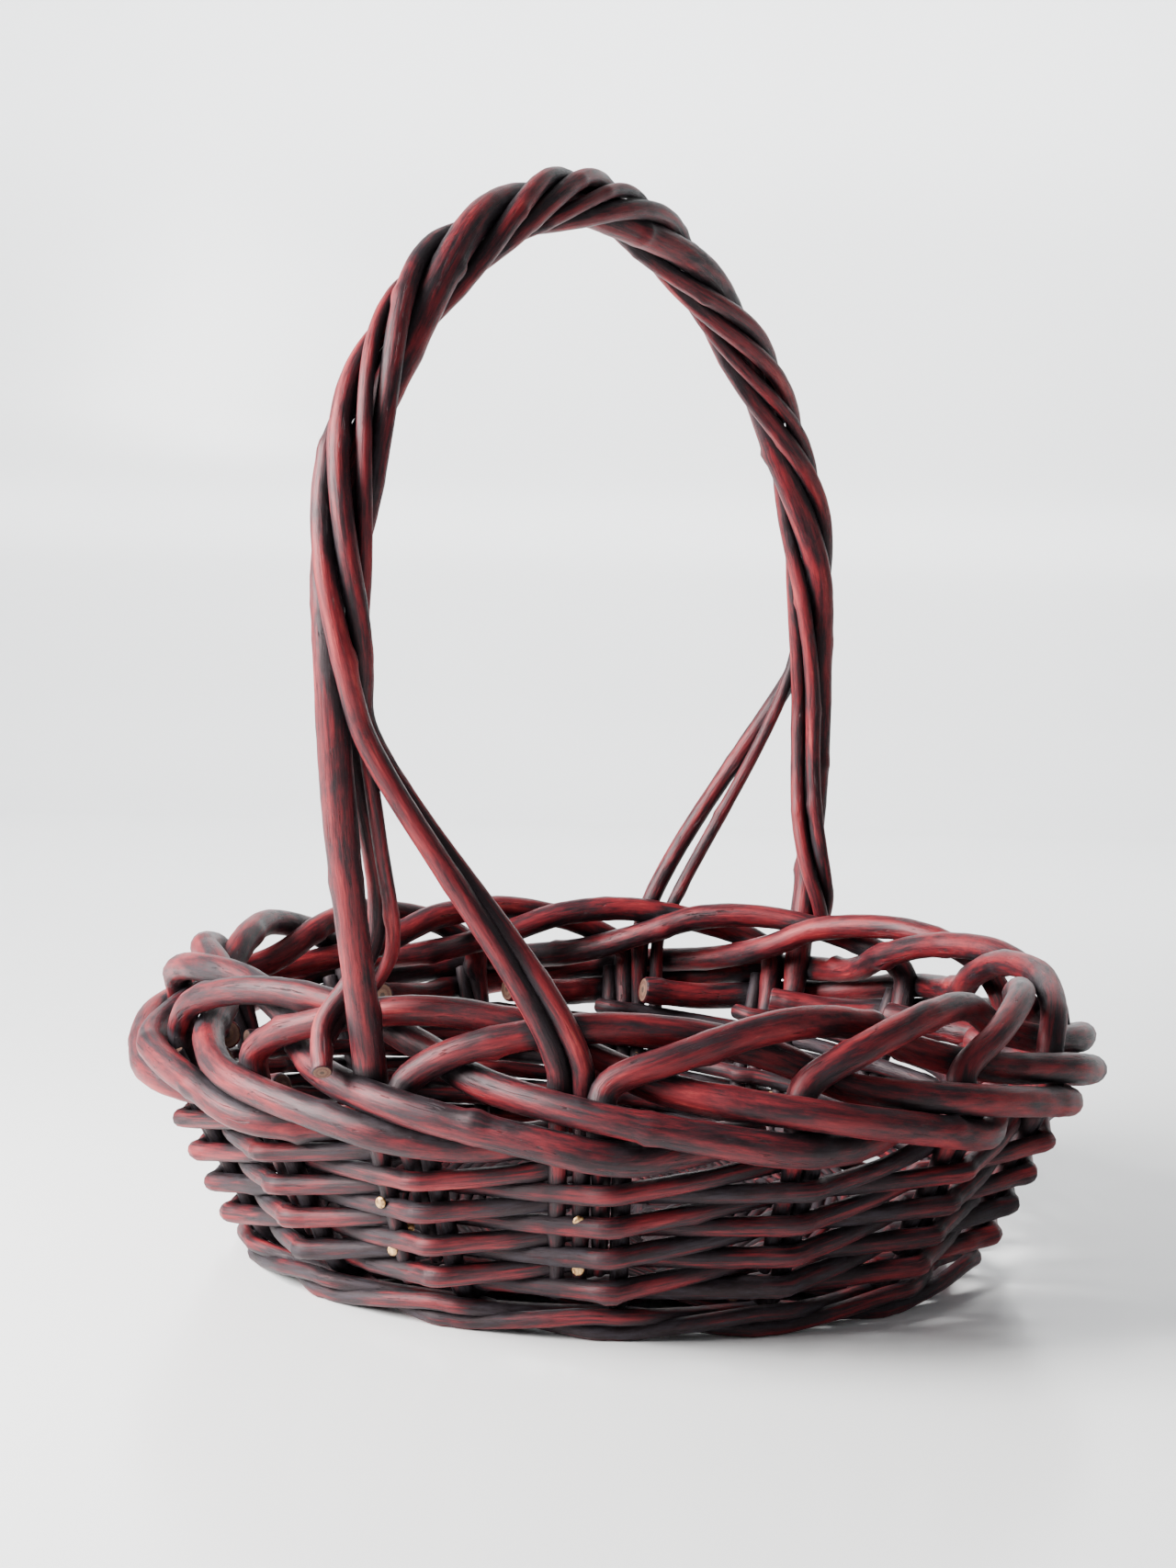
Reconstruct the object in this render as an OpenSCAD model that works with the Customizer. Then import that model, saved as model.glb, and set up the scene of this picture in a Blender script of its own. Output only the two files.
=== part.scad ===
// Round willow basket with a flared wall, a plaited border and a twisted-rod handle.
// Origin: centre of the base, on the surface that the basket stands on. +Z is up.
// Azimuths run anticlockwise from +X, seen from above.

/* [Base] */
// Radius of the circle of stakes where the wall meets the table
base_radius = 141; // [120:1:175]
// Diameter of the base sticks that are slit at the centre
base_stick_d = 8; // [7:0.5:9]
// Diameter of the base sticks that pass through the slits
through_stick_d = 6; // [5:0.5:6.5]
// Diameter of the rods that are woven round the base sticks
base_weaver_d = 5; // [4:0.5:6]
// Half of the width of the bare crossing at the centre of the base
crossing_half = 20; // [18:1:30]

/* [Wall] */
// Outward lean of the wall, in degrees from upright
wall_flare = 27; // [15:1:32]
// Diameter of a stake
stake_d = 7; // [5.5:0.5:8]
// Diameter of a side weaver
weaver_d = 6.4; // [5:0.1:7]
// Diameter of a waling rod round the foot of the wall
wale_d = 6.2; // [5:0.1:7]
// Air between two rods that lie one above the other
row_gap = 0.1; // [0.1:0.1:2]
// Number of strokes that a side weaver makes on its way up, so the wall's height follows
stroke_count = 8; // [6:1:10]

/* [Border] */
// Diameter of a border rod at its thick cut end
border_butt_d = 11.6; // [9:0.2:12.6]
// Thickness of a border rod where it turns down into the wall, as a share of its cut end's
border_bend_share = 0.83; // [0.74:0.01:0.9]
// Diameter of a border rod's thin end, beside its stake
border_tail_d = 6.6; // [5:0.2:7]
// How far a border rod's thin end reaches down into the wall
border_tail = 42; // [25:1:48]

/* [Handle] */
// Height of the bow's centre line at its top, above the table
handle_height = 420; // [345:1:520]
// How far the bow's centre line stands out past the top of the wall, where it is widest
handle_bulge = 19.5; // [10:0.5:60]
// Height at which the bow is widest
handle_shoulder = 271; // [230:1:300]
// Sideways lean of the handle's top, towards its first foot
handle_lean = 32; // [0:1:36]
// Diameter of the thick bow rod
bow_d = 12; // [10:0.5:13]
// Diameter of each of the two wrapping rods that start at the first foot
wrap_a_d = 8; // [5.5:0.5:8.5]
// Diameter of the thicker wrapping rod that starts at the second foot
wrap_b_d = 8.4; // [7:0.2:9]
// Diameter of the thinner wrapping rod that starts at the second foot
wrap_c_d = 6; // [5:0.5:7]
// Diameter of a handle rod's pointed end, where it runs down inside the weave
handle_tail_d = 6.6; // [5:0.2:7]
// Turns that the twist would make over the handle's whole length
twist_turns = 4.42; // [3.9:0.02:4.9]

/* [Nails] */
// Diameter of a nail's shank
nail_d = 1.6; // [1.2:0.1:2]
// Diameter of a nail's head
nail_head_d = 4.4; // [3:0.1:5]
// Thickness of a nail's head
nail_head_t = 0.8; // [0.5:0.1:1.2]

/* [Hidden] */
function numbered(word, count) =
    [for (i = [1:count]) str(word, "_", i < 10 ? "0" : "", i)];

// The weave is laid out on this many stakes, and the wale on this many rods
stake_count = 16;
wale_count = 3;

// Wood tones: stained rods, darker stained rods, and the nails
rod_colour = "#6b2a2c";
dark_colour = "#3a2226";
brass_colour = "#b58a4a";

// Smallest air left between rods that pass each other
clearance = 0.3;
// Sides of a weaving rod and of the bow, and the roundness of straight rods
rod_sides = 6;
bow_sides = 8;
round_fn = 32;
// Height of the underside of the base above the table
base_lift = 2.5;

step_angle = 360 / stake_count;
row_pitch = weaver_d + row_gap;
stick_height = base_lift + base_weaver_d + base_stick_d / 2;
// The wale stands on a flat side of its rods
wale_low = wale_d / 2 * cos(180 / rod_sides);
wale_high = wale_low + wale_d + clearance;
weave_foot = wale_high + row_pitch;
wall_top = weave_foot + row_pitch * stroke_count;
border_bend_d = border_bend_share * border_butt_d;
border_pitch = border_butt_d - 0.2;
wall_top_radius = wall_radius(wall_top);
handle_half_span = wall_top_radius + handle_bulge;

// ---- places round the wall ----

function stake_azimuth(i) = i * step_angle;
function wall_radius(z) = base_radius + z * tan(wall_flare);
function at(radius, azimuth, z) = [radius * cos(azimuth), radius * sin(azimuth), z];
function outward(azimuth) = [cos(azimuth), sin(azimuth), 0];
// Angle that a distance along the wall takes at height z
function arc_angle(distance, z) = distance / wall_radius(z) * 180 / PI;

// A stake and a border rod's thin end stand side by side about each stake azimuth
pair_width = stake_d + border_tail_d + clearance;
stake_shift = (pair_width - stake_d) / 2;
tail_shift = -(pair_width - border_tail_d) / 2;
// Wrapping rods stand just clockwise of the pair, in first and second place, and the bow a little apart
foot_shift = -(pair_width + handle_tail_d) / 2 - clearance;
next_foot_shift = foot_shift - max(handle_tail_d, wrap_a_d, (wrap_b_d + wrap_c_d) / 2) - clearance;
bow_shift = foot_shift - handle_tail_d;

// Stakes that the handle stands beside, counted from the one at azimuth 0
second_bow_stake = 3;
first_bow_stake = second_bow_stake + stake_count / 2;
second_wrap_stake = second_bow_stake + 1;
first_wrap_stake = first_bow_stake + 1;

// ---- rods ----

function unit(v) = v / norm(v);
function mix(a, b, t) = a + (b - a) * t;
function ease(t) = let (c = min(max(t, 0), 1)) c * c * (3 - 2 * c);

// Smooth curve through knots, with a number of steps between each two
function curve_point(a, b, c, d, t) =
    0.5 * ((2 * b) + (c - a) * t + (2 * a - 5 * b + 4 * c - d) * t * t + (3 * b - a - 3 * c + d) * t * t * t);
function curve(knots, steps) =
    let (last = len(knots) - 1)
    concat(
        [for (i = [0:last - 1], k = [0:steps - 1])
            curve_point(knots[max(i - 1, 0)], knots[i], knots[i + 1], knots[min(i + 2, last)], k / steps)],
        [knots[last]]
    );

function way(path, i) = unit(path[min(i + 1, len(path) - 1)] - path[max(i - 1, 0)]);

// One ring of points round each centre; the sideways vectors never lie along the rod
module rod(path, radii, sideways, sides = rod_sides) {
    points = [for (i = [0:len(path) - 1])
        let (
            along = way(path, i),
            across = unit(sideways[i] - (sideways[i] * along) * along),
            third = cross(along, across)
        )
        for (k = [0:sides - 1])
            path[i] + radii[i] * (cos(360 * k / sides) * across + sin(360 * k / sides) * third)];
    walls = [for (i = [0:len(path) - 2], k = [0:sides - 1])
        let (a = i * sides + k, b = i * sides + (k + 1) % sides)
        each [[a, a + sides, b + sides], [a, b + sides, b]]];
    first_end = [for (k = [0:sides - 1]) k];
    last_end = [for (k = [0:sides - 1]) len(path) * sides - 1 - k];
    polyhedron(points, concat(walls, [first_end, last_end]), convexity = 8);
}

// ---- handle centre line ----

// Places of the handle's ends round the wall
bow_angle_shift = arc_angle(bow_shift, wall_top);
handle_turn = stake_azimuth(second_bow_stake) + bow_angle_shift;
arch_along = outward(handle_turn);
arch_front = [sin(handle_turn), -cos(handle_turn), 0];

// Each leg is part of an ellipse, and the top is a slightly pointed half round
arch_power = 2 / 1.78;
leg_steps = 18;
top_steps = 38;
leg_rise = (handle_shoulder - wall_top) / sqrt(1 - pow(wall_top_radius / handle_half_span, 2));
function leaning(u, z) =
    let (t = max(z - wall_top, 0) / (handle_height - wall_top))
    (u - handle_lean * t * t) * arch_along + [0, 0, z];
function leg_point(side, t) =
    let (z = mix(wall_top, handle_shoulder, t))
    leaning(side * handle_half_span * sqrt(1 - pow((handle_shoulder - z) / leg_rise, 2)), z);
function top_point(a) =
    leaning(
        -handle_half_span * sign(cos(a)) * pow(abs(cos(a)), arch_power),
        handle_shoulder + (handle_height - handle_shoulder) * pow(abs(sin(a)), arch_power)
    );
arch = concat(
    [for (i = [0:leg_steps - 1]) leg_point(-1, i / leg_steps)],
    [for (i = [0:top_steps]) top_point(180 * i / top_steps)],
    [for (i = [1:leg_steps]) leg_point(1, 1 - i / leg_steps)]
);
arch_last = len(arch) - 1;
// Length of the centre line up to each of its points
arch_at = [for (i = 0, s = 0; i <= arch_last; i = i + 1, s = s + norm(arch[min(i, arch_last)] - arch[i - 1])) s];
arch_length = arch_at[arch_last];

// ---- twist of the handle ----

// Lengths along the handle are shares of its own length, so the twist keeps its shape at every size
twist_length = arch_length / twist_turns;
// Each strand comes to the front at these lengths from the first foot
front_a = 0.184 * arch_length;
front_b = front_a + twist_length / 3;
front_bow = front_b + twist_length / 3;
// Distance of the bow and of the wrapping rods from the centre line of the twist
bow_reach = 5;
wrap_reach = (bow_d + max(wrap_a_d, wrap_b_d)) / 2 - 1.8;
// The two rods of a pair lie side by side, so their angle apart follows from their size
pair_spread = asin(max(wrap_a_d, (wrap_b_d + wrap_c_d) / 2) / 2 / wrap_reach);
loose_reach = (bow_d + max(wrap_a_d, wrap_b_d)) / 2 + clearance;
// Up to here from each foot the bow swings outward; then the twist takes hold
twist_start = front_bow - 0.75 * twist_length;
twist_end = front_bow + 2.25 * twist_length;
twist_ease = 0.074 * arch_length;
bow_swing = 9;
function bare(s) = min(s / twist_start, (arch_length - s) / (arch_length - twist_end));
function held(s) = ease((s - twist_start) / twist_ease) * ease((twist_end - s) / twist_ease);
function swing(s) = bow_swing * ease(bare(s)) * (1 - held(s));
function phase(front, s) = 90 - 360 * (s - front) / twist_length;
function strand_point(i, angle, reach) =
    let (along = way(arch, i), out = cross(arch_front, along))
    arch[i] + (swing(arch_at[i]) + reach * cos(angle)) * out + reach * sin(angle) * arch_front;
function bow_point(i) = strand_point(i, phase(front_bow, arch_at[i]), bow_reach * held(arch_at[i]));
// A wrapping rod's end comes loose near the bow's foot and turns on round it:
// [distance from the foot where it stops, distance where it comes loose, angle it turns by,
// turning rate at its tip, added reach there, share of the pair's angle that closes up there]
end_a = [0.040 * arch_length, 0.234 * arch_length, 214, 750, 0, 0.25];
end_b = [0.034 * arch_length, 0.218 * arch_length, 175, 1050, 8, 0.5];
function loose_share(d, end) = max(end[1] - d, 0) / (end[1] - end[0]);
function end_turn(d, end) =
    let (t = loose_share(d, end), rate = 360 * (end[1] - end[0]) / twist_length)
    (t * t * t - 2 * t * t + t) * rate + (3 * t * t - 2 * t * t * t) * end[2] + (t * t * t - t * t) * end[3];
// Side is 1 for an end at the bow's first foot and -1 for one at its second
function wrap_point(i, front, spread, end, side) =
    let (
        s = arch_at[i],
        d = side > 0 ? s : arch_length - s,
        kept = max(d, end[1]),
        angle = phase(front, side > 0 ? kept : arch_length - kept) + side * end_turn(d, end),
        share = loose_share(d, end)
    )
    strand_point(
        i, angle + spread * (1 - share * end[5]), mix(loose_reach, wrap_reach, held(s)) + end[4] * share * share
    );

// How far a leg keeps to its own direction at each end, as a share of its length
leg_pull = 0.55;
// A smooth leg from a foot in the wall to the place where a rod joins the twist
function leg_curve(foot, foot_way, join, join_way, steps) =
    let (reach = leg_pull * norm(join - foot))
    [for (k = [0:steps - 1])
        let (t = k / steps)
        (2 * t * t * t - 3 * t * t + 1) * foot + (t * t * t - 2 * t * t + t) * reach * foot_way
            + (3 * t * t - 2 * t * t * t) * join + (t * t * t - t * t) * reach * join_way];

// A handle rod's end leans with the wall and stands nearly upright inside the border
tail_foot = wale_high + row_pitch;
leg_foot = wall_top + 2.7 * border_pitch;
upright_lean = 0.06;
function foot_radius(z) = wall_radius(min(z, wall_top)) + upright_lean * max(z - wall_top, 0);
function tail_point(stake, shift, z) =
    at(foot_radius(z), stake_azimuth(stake) + arc_angle(shift, min(z, wall_top)), z);
function tail_way(stake, shift) =
    unit(tail_point(stake, shift, leg_foot) - tail_point(stake, shift, wall_top));
function leg_tail(stake, shift) =
    [for (z = [tail_foot, wall_top - row_pitch, wall_top + row_pitch]) tail_point(stake, shift, z)];

// ---- keeping weaving rods clear of the handle's ends ----

feet = [
    [first_bow_stake, bow_shift, bow_d],
    [second_bow_stake, bow_shift, bow_d],
    [first_wrap_stake, foot_shift, wrap_a_d],
    [first_wrap_stake, next_foot_shift, wrap_a_d],
    [second_wrap_stake, foot_shift, wrap_b_d],
    [second_wrap_stake, next_foot_shift, wrap_c_d]
];
// A handle rod is thin inside the weave and full above it
fill_height = 20;
function foot_d(foot, z) = mix(handle_tail_d, foot[2], ease((z - wall_top) / fill_height));
function angle_between(a, b) = let (d = (a - b) % 360) d > 180 ? d - 360 : d < -180 ? d + 360 : d;
// Radial room that a rod of diameter d needs beside a foot, or 0 where it passes well clear
function room(foot, azimuth, z, d) =
    let (
        near = (foot_d(foot, z) + d) / 2 + clearance,
        foot_azimuth = stake_azimuth(foot[0]) + arc_angle(foot[1], min(z, wall_top)),
        gap = angle_between(azimuth, foot_azimuth) * PI / 180 * foot_radius(z)
    )
    abs(gap) < near ? sqrt(near * near - gap * gap) : 0;
function clear_radius(radius, azimuth, z, d) =
    let (needed = max([for (foot = feet) room(foot, azimuth, z, d)]), middle = foot_radius(z))
    needed == 0 ? radius : radius < middle ? min(radius, middle - needed) : max(radius, middle + needed);

// ---- the pieces ----

// A stake lies beside a base stick, bends up at the edge and leans out with the wall
stake_sides = 12;
module stake(i) {
    foot_length = 42;
    top = wall_top + 1.6 * border_pitch;
    azimuth = stake_azimuth(i);
    side = stake_shift * [-sin(azimuth), cos(azimuth), 0];
    edge = wall_radius(stick_height);
    path = [
        at(edge - foot_length, azimuth, stick_height) + side,
        at(edge - stake_d / 2, azimuth, stick_height) + side,
        at(wall_radius(stick_height + stake_d / 2), azimuth, stick_height + stake_d / 2) + side,
        at(wall_radius(top), azimuth, top) + side
    ];
    color(dark_colour) rod(path, [for (p = path) stake_d / 2], [for (p = path) side], stake_sides);
}

// Border path of one rod: stake spacings along the rim, and steps of one rod out and up
border_knots = [
    [0, 0, 0], [0, 0.5, 1.5], [0.04, 0.5, 2.6], [0.33, 0.35, 3.6], [0.88, -0.3, 4.3], [1.45, -1.05, 4.1],
    [1.95, -1.05, 3.2], [2.38, 0.15, 2.4], [3, 1.4, 1.85], [3.7, 1.45, 1.05], [4.1, 1.1, 0.65],
    [4.45, 0, 0.6], [4.85, -1.05, 0.95]
];
border_steps = 3;
border_curve = curve(border_knots, border_steps);

module border_rod(i) {
    last = len(border_curve) - 1;
    widths = [for (k = [0:last]) mix(border_bend_d, border_butt_d, k / last)];
    rim = [for (k = [0:last])
        let (
            knot = border_curve[k],
            azimuth = stake_azimuth(i + knot[0]) + arc_angle(tail_shift, wall_top),
            z = wall_top + knot[2] * border_pitch
        )
        at(clear_radius(wall_top_radius + knot[1] * border_pitch, azimuth, z, widths[k]), azimuth, z)];
    low = wall_top - border_tail;
    tail = [for (z = [low, wall_top - row_pitch]) tail_point(i, tail_shift, z)];
    path = concat(tail, [for (k = [1:last]) rim[k]]);
    radii = concat([0.35 * border_tail_d, 0.5 * border_tail_d], [for (k = [1:last]) 0.5 * widths[k]]);
    color(rod_colour) rod(path, radii, [for (p = path) unit([p.x, p.y, 0])]);
}

// In and out of the stakes: +1 outside a stake, -1 inside it, straight in between
function stroke(p, half_plateau) =
    let (n = round(p), away = abs(p - n), side = n % 2 == 0 ? -1 : 1)
    side * (away <= half_plateau ? 1 : (0.5 - away) / (0.5 - half_plateau));
weave_reach = (stake_d + weaver_d) / 2 + clearance;
half_plateau = pair_width / 2 / (2 * PI * base_radius / stake_count);
// Rings of a weaving rod: at both sides of each pair, at its middle and half way to the next
function stroke_places(first, last) =
    [for (n = [first:last], f = [-half_plateau, 0, half_plateau, 0.5]) n + f];

// A side weaver starts inside the wall, climbs one rod's height at each stake and ends under the border
module side_weaver(i) {
    last_stroke = [for (f = [-half_plateau, 0, half_plateau]) stroke_count + f];
    places = concat(stroke_places(0, stroke_count - 1), last_stroke);
    path = [for (p = places)
        let (
            z = weave_foot + row_pitch * p,
            azimuth = stake_azimuth(i + p),
            radius = wall_radius(z) + weave_reach * stroke(p, half_plateau)
        )
        at(clear_radius(radius, azimuth, z, weaver_d), azimuth, z)];
    thin = 0.86;
    radii = [for (k = [0:len(path) - 1]) 0.5 * weaver_d * mix(1, thin, k / (len(path) - 1))];
    color(i % 3 == 0 ? dark_colour : rod_colour) rod(path, radii, [for (p = path) [0, 0, 1]]);
}

// A waling rod passes outside two stakes, low then high, and inside the third
wale_reach = (stake_d + wale_d) / 2 + clearance;
wale_knots = [[1, wale_low], [1, wale_high], [-1, (wale_low + wale_high) / 2]];
wale_rings = [-half_plateau, -half_plateau / 2, half_plateau / 2, half_plateau, 0.5];
module wale_rod(i) {
    path = [for (n = [0:stake_count - 2], f = wale_rings)
        let (
            here = wale_knots[n % 3],
            next = wale_knots[(n + 1) % 3],
            t = ease((f - half_plateau) / (1 - 2 * half_plateau)),
            z = mix(here[1], next[1], t),
            radius = wall_radius(z) + wale_reach * mix(here[0], next[0], t)
        )
        at(radius, stake_azimuth(i + n + f), z)];
    color(dark_colour) rod(path, [for (p = path) 0.5 * wale_d], [for (p = path) unit([p.x, p.y, 0])]);
}

module handle_bow() {
    first_tail = [for (z = [tail_foot, wall_top - row_pitch]) tail_point(first_bow_stake, bow_shift, z)];
    last_tail = [for (z = [wall_top - row_pitch, tail_foot]) tail_point(second_bow_stake, bow_shift, z)];
    middle = [for (i = [2:arch_last - 2]) bow_point(i)];
    path = concat(first_tail, middle, last_tail);
    full = [for (p = middle) 0.5 * mix(handle_tail_d, bow_d, ease((p.z - wall_top) / fill_height))];
    tail = 0.5 * handle_tail_d;
    radii = concat([0.7 * tail, tail], full, [tail, 0.7 * tail]);
    color(rod_colour) rod(path, radii, [for (p = path) arch_front], bow_sides);
}

// Wrapping rods of the first foot run from their own leg to the far foot of the bow
join_a = 0.159 * arch_length;
module wrap_rod_a(shift, spread) {
    joined = [for (i = [0:arch_last]) if (arch_at[i] >= join_a && arch_at[i] <= arch_length - end_a[0]) i];
    twist = [for (i = joined) wrap_point(i, front_a, spread, end_a, -1)];
    foot = tail_point(first_wrap_stake, shift, leg_foot);
    leg = leg_curve(foot, tail_way(first_wrap_stake, shift), twist[0], unit(twist[1] - twist[0]), 12);
    path = concat(leg_tail(first_wrap_stake, shift), leg, twist);
    color(rod_colour) wrap_rod(path, wrap_a_d);
}

// Wrapping rods of the second foot run the other way, and end round the first foot of the bow
join_b = 0.186 * arch_length;
module wrap_rod_b(shift, spread, d) {
    joined = [for (i = [arch_last:-1:0]) if (arch_at[i] <= arch_length - join_b && arch_at[i] >= end_b[0]) i];
    twist = [for (i = joined) wrap_point(i, front_b, spread, end_b, 1)];
    foot = tail_point(second_wrap_stake, shift, leg_foot);
    leg = leg_curve(foot, tail_way(second_wrap_stake, shift), twist[0], unit(twist[1] - twist[0]), 12);
    path = concat(leg_tail(second_wrap_stake, shift), leg, twist);
    color(dark_colour) wrap_rod(path, d);
}

// Full above the weave, thin inside it, and a little thinner towards the far end
module wrap_rod(path, d) {
    last = len(path) - 1;
    far = 0.85;
    full = [for (i = [2:last])
        0.5 * mix(handle_tail_d, d, ease((path[i].z - wall_top) / fill_height)) * mix(1, far, i / last)];
    tail = 0.5 * handle_tail_d;
    rod(path, concat([0.7 * tail, tail], full), [for (p = path) arch_front]);
}

// ---- base ----

stick_end = base_radius - wale_reach - wale_d / 2 - clearance;
stick_pitch = base_stick_d + clearance;
sticks_each_way = stake_count / 4;
function across_place(k) = (k - (sticks_each_way - 1) / 2) * stick_pitch;
// The end of a stick stands just clockwise of a stake's foot
function stick_tip(i) =
    at(stick_end, stake_azimuth(i) - asin((base_stick_d - stake_shift) / stick_end), stick_height);

// One stick: straight through the crossing, then spread out to its two stakes
stick_sides = 12;
module base_stick(near, far, first, last, d) {
    path = [stick_tip(first), near, far, stick_tip(last)];
    rod(path, [for (p = path) d / 2], [for (p = path) [0, 0, 1]], stick_sides);
}

module through_sticks() {
    color(dark_colour)
        for (k = [0:sticks_each_way - 1]) {
            y = across_place(k);
            base_stick(
                [crossing_half, y, stick_height], [-crossing_half, y, stick_height],
                k - 2, stake_count / 2 + 1 - k, through_stick_d
            );
        }
}

module slit_sticks() {
    color(dark_colour)
        for (k = [0:sticks_each_way - 1]) {
            x = across_place(k);
            difference() {
                base_stick(
                    [x, crossing_half, stick_height], [x, -crossing_half, stick_height],
                    5 - k, 3 * stake_count / 4 - 2 + k, base_stick_d
                );
                for (m = [0:sticks_each_way - 1])
                    translate([-crossing_half, across_place(m), stick_height])
                        rotate([0, 90, 0])
                            cylinder(h = 2 * crossing_half, d = through_stick_d + clearance, $fn = round_fn);
            }
        }
}

// Rounds of weaving above and below the base sticks
module base_weave() {
    first = crossing_half + base_stick_d + base_weaver_d;
    pitch = base_weaver_d + clearance;
    last = stick_end - base_weaver_d;
    rise = (base_stick_d + base_weaver_d) / 2 + clearance / 2;
    color(rod_colour)
        for (radius = [first:pitch:last], side = [-1, 1])
            translate([0, 0, stick_height + side * rise])
                rotate_extrude($fn = 96)
                    translate([radius, 0])
                        circle(d = base_weaver_d, $fn = round_fn);
}

// ---- nails ----

// A nail driven from outside or inside (side 1 or -1) through a handle rod into its stake
module nail(stake, shift, z, side) {
    azimuth = stake_azimuth(stake) + arc_angle(shift, z);
    reach = handle_tail_d / 2;
    translate(at(foot_radius(z), azimuth, z))
        rotate([0, 0, azimuth])
            rotate([0, side * 90, 0])
                translate([0, 0, -reach])
                    union() {
                        cylinder(h = 2 * reach + nail_head_t / 2, d = nail_d, $fn = round_fn);
                        translate([0, 0, 2 * reach]) cylinder(h = nail_head_t, d = nail_head_d, $fn = round_fn);
                    }
}

module nails() {
    color(brass_colour)
        for (foot = [feet[0], feet[1], feet[2], feet[4]], row = [[2, 1], [5, 1], [3, -1], [6, -1]])
            nail(foot[0], foot[1], weave_foot + row_pitch * row[0], row[1]);
}

// ---- drawing ----

for (i = [0:stake_count - 1]) {
    stake(i);
    border_rod(i);
    side_weaver(i);
}
for (i = [0:wale_count - 1])
    wale_rod(i);
handle_bow();
wrap_rod_a(foot_shift, pair_spread);  // wrap_rod_a1
wrap_rod_a(next_foot_shift, -pair_spread);  // wrap_rod_a2
wrap_rod_b(foot_shift, pair_spread, wrap_b_d);  // wrap_rod_b1
wrap_rod_b(next_foot_shift, -pair_spread, wrap_c_d);  // wrap_rod_b2
slit_sticks();
through_sticks();
base_weave();
nails();
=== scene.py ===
import bpy, bmesh, random
import numpy as np
from math import sin, cos, tan, pi, radians, sqrt, asin, copysign
from mathutils import Vector, Matrix, noise
from mathutils.kdtree import KDTree


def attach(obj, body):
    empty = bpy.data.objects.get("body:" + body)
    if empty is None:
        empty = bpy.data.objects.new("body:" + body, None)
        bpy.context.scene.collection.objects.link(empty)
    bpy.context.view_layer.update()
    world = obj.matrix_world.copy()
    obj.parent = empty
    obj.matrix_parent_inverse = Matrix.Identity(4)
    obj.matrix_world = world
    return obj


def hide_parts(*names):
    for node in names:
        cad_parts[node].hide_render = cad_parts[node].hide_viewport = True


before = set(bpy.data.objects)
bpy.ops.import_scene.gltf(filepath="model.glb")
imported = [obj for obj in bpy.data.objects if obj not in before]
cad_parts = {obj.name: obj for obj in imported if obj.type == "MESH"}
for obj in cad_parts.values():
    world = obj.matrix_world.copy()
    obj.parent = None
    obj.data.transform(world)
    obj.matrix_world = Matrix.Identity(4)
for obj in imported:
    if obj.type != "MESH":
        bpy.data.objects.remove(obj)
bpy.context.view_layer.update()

print("frame loaded:", len(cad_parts), "nodes")

# where the basket is seen from

shot = {
    "stand": (0.0, -1.058, 0.2662),  # where the camera stands, on the basket's front side
    "lens": 59.34,
    "sensor": 36,
    "nearest": 0.01,
    "turn": -0.0131,  # radians, towards +X
    "dip": 0.0734,
    "roll": 0.0247,
}


def makeCamera():
    turn, dip, roll = shot["turn"], shot["dip"], shot["roll"]
    forward = Vector((sin(turn) * cos(dip), cos(turn) * cos(dip), -sin(dip)))
    level = Vector((cos(turn), -sin(turn), 0))
    plumb = level.cross(forward)
    right = level * cos(roll) + plumb * sin(roll)
    up = plumb * cos(roll) - level * sin(roll)
    data = bpy.data.cameras.new("camera")
    data.lens = shot["lens"]
    data.sensor_width = shot["sensor"]
    data.sensor_fit = "AUTO"
    data.clip_start = shot["nearest"]
    cam = bpy.data.objects.new("camera", data)
    turned = Matrix((right, up, -forward)).transposed().to_4x4()
    cam.matrix_world = Matrix.Translation(Vector(shot["stand"])) @ turned
    bpy.context.scene.collection.objects.link(cam)
    bpy.context.scene.camera = cam
    return cam


makeCamera()


def newMaterial(name):
    mat = bpy.data.materials.new(name)
    mat.use_nodes = True
    mat.node_tree.nodes.clear()
    out = mat.node_tree.nodes.new("ShaderNodeOutputMaterial")
    shader = mat.node_tree.nodes.new("ShaderNodeBsdfPrincipled")
    mat.node_tree.links.new(shader.outputs["BSDF"], out.inputs["Surface"])
    return mat, mat.node_tree, shader


def addNode(tree, kind, inputs=None, **settings):
    node = tree.nodes.new(kind)
    for key, value in settings.items():
        setattr(node, key, value)
    for key, value in (inputs or {}).items():
        if isinstance(value, bpy.types.NodeSocket):
            tree.links.new(value, node.inputs[key])
        else:
            node.inputs[key].default_value = value
    return node


def mathOn(tree, operation, a, b=0.0, clamp=False):
    node = addNode(tree, "ShaderNodeMath", {0: a, 1: b}, operation=operation, use_clamp=clamp)
    return node.outputs[0]


def rampOn(tree, value, stops, ease="LINEAR"):
    node = addNode(tree, "ShaderNodeValToRGB", {"Fac": value})
    node.color_ramp.interpolation = ease
    bar = node.color_ramp.elements
    while len(bar) < len(stops):
        bar.new(0.5)
    for spot, (place, colour) in zip(bar, stops):
        spot.position = place
        spot.color = colour if len(colour) == 4 else (*colour, 1)
    return node.outputs["Color"]


def mixColour(tree, amount, a, b):
    node = addNode(tree, "ShaderNodeMix", data_type="RGBA", blend_type="MIX")
    for key, value in ((0, amount), (6, a), (7, b)):
        if isinstance(value, bpy.types.NodeSocket):
            tree.links.new(value, node.inputs[key])
        else:
            node.inputs[key].default_value = value if key == 0 else (*value, 1)
    return node.outputs[2]


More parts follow.
